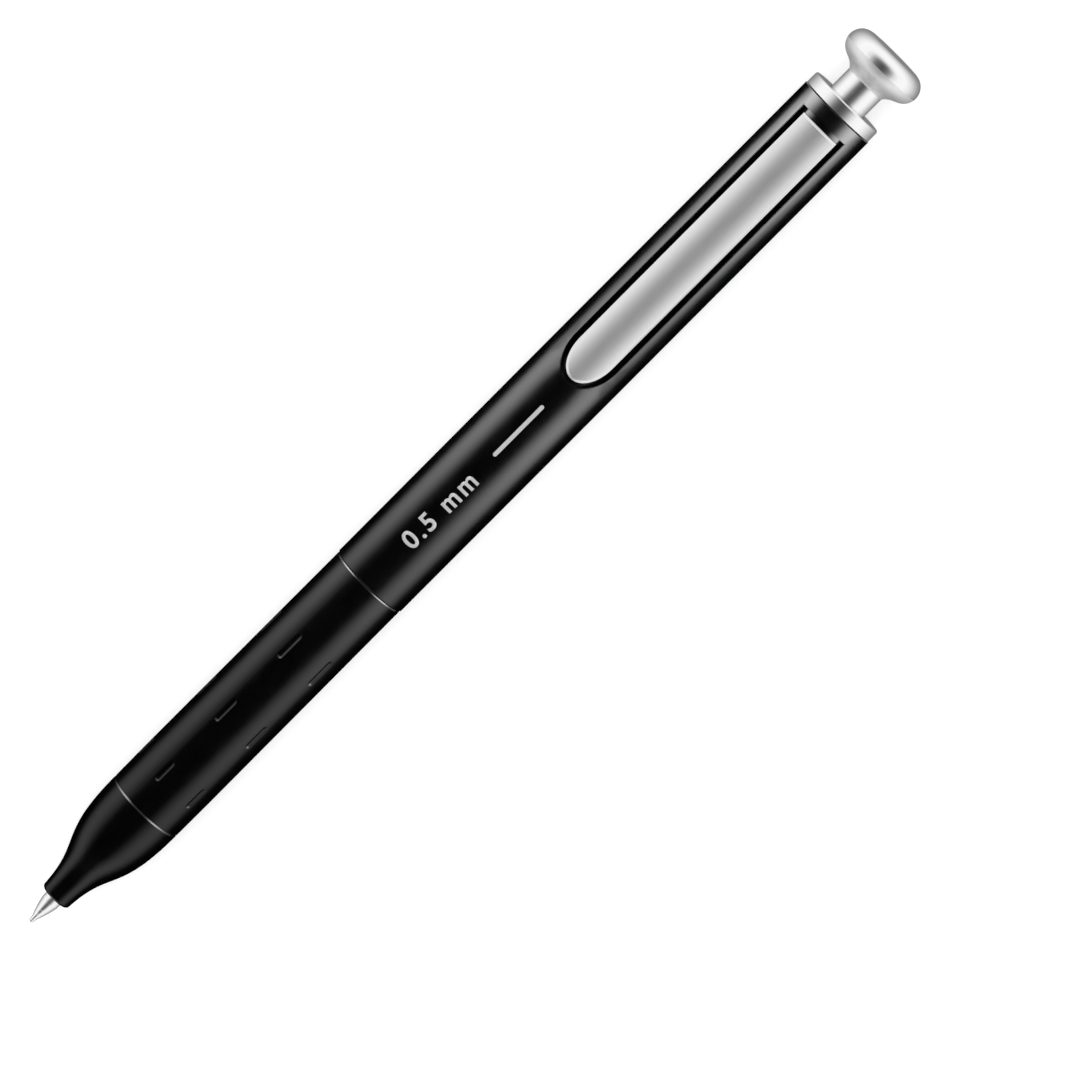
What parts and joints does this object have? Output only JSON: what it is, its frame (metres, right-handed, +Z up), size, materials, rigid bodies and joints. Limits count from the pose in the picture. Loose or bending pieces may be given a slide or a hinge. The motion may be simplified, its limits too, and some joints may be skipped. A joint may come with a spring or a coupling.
{
  "type": "retractable pen",
  "caption": "Slim retractable gel pen with a mushroom push knob, an inlaid spring clip, a turning-cam click mechanism and a replaceable refill.",
  "frame": {"origin": "centre of the underside of the pen's bounding box, on the surface that it lies on, midway between writing point and knob", "axes": "+X along the pen from the writing tip to the push knob, +Z up through the clip, +Y across"},
  "size_m": [0.145, 0.0108, 0.0108],
  "materials": {
    "tip_steel": "turned bright",
    "carbide": "polished",
    "spring_steel": "drawn wire",
    "clear_plastic": "clear",
    "ink": "wet gloss",
    "grease": "clear grease",
    "white_plastic": "moulded satin",
    "cam_plastic": "moulded satin",
    "black_plastic": "satin",
    "dark_plastic": "moulded satin",
    "black_grip": "soft satin",
    "clip_metal": "satin with bright edges",
    "polished_metal": "polished",
    "satin_metal": "satin"
  },
  "bodies": {
    "barrel": {"nose_cone": "black_plastic", "core_tube": "dark_plastic", "grip_sleeve": "black_grip", "upper_barrel": "black_plastic", "collar_ring": "polished_metal", "neck_bush": "white_plastic", "cam_housing": "white_plastic", "return_spring": "spring_steel"},
    "refill": {"refill_tip": "tip_steel", "ball_spring": "spring_steel", "tip_holder": "clear_plastic", "ink_tube": "clear_plastic", "ink_column": "ink", "grease_follower": "grease", "tail_plug": "white_plastic"},
    "ball": {"tip_ball": "carbide"},
    "plunger": {"plunger_cam": "cam_plastic", "knob_stem": "polished_metal", "knob_cap": "satin_metal"},
    "rotor": {"rotor_cam": "cam_plastic"},
    "clip": {"clip_plate": "clip_metal"}
  },
  "joints": [
    {"name": "knob_press", "type": "slide", "parent": "barrel", "child": "plunger", "axis": [1, 0, 0], "range_m": [-0.0015, 0.0055], "stiffness_N_per_m": 150},
    {"name": "refill_slide", "type": "slide", "parent": "barrel", "child": "refill", "axis": [1, 0, 0], "range_m": [-0.0015, 0.0055], "deforming": ["return_spring"]},
    {"name": "rotor_turn", "type": "hinge", "parent": "plunger", "child": "rotor", "pos_m": [0.0473, 0, 0.0054], "axis": [1, 0, 0], "continuous": true},
    {"name": "ball_roll", "type": "hinge", "parent": "refill", "child": "ball", "pos_m": [-0.07225, 0, 0.0054], "axis": [0, 1, 0], "continuous": true},
    {"name": "clip_lift", "type": "hinge", "parent": "barrel", "child": "clip", "pos_m": [0.05955, 0, 0.01], "axis": [0, 1, 0], "range_deg": [0, 4], "stiffness_Nm_per_rad": 0.5}
  ],
  "couplings": [
    {"joint": "refill_slide", "follows": "knob_press", "ratio": 1}
  ]
}
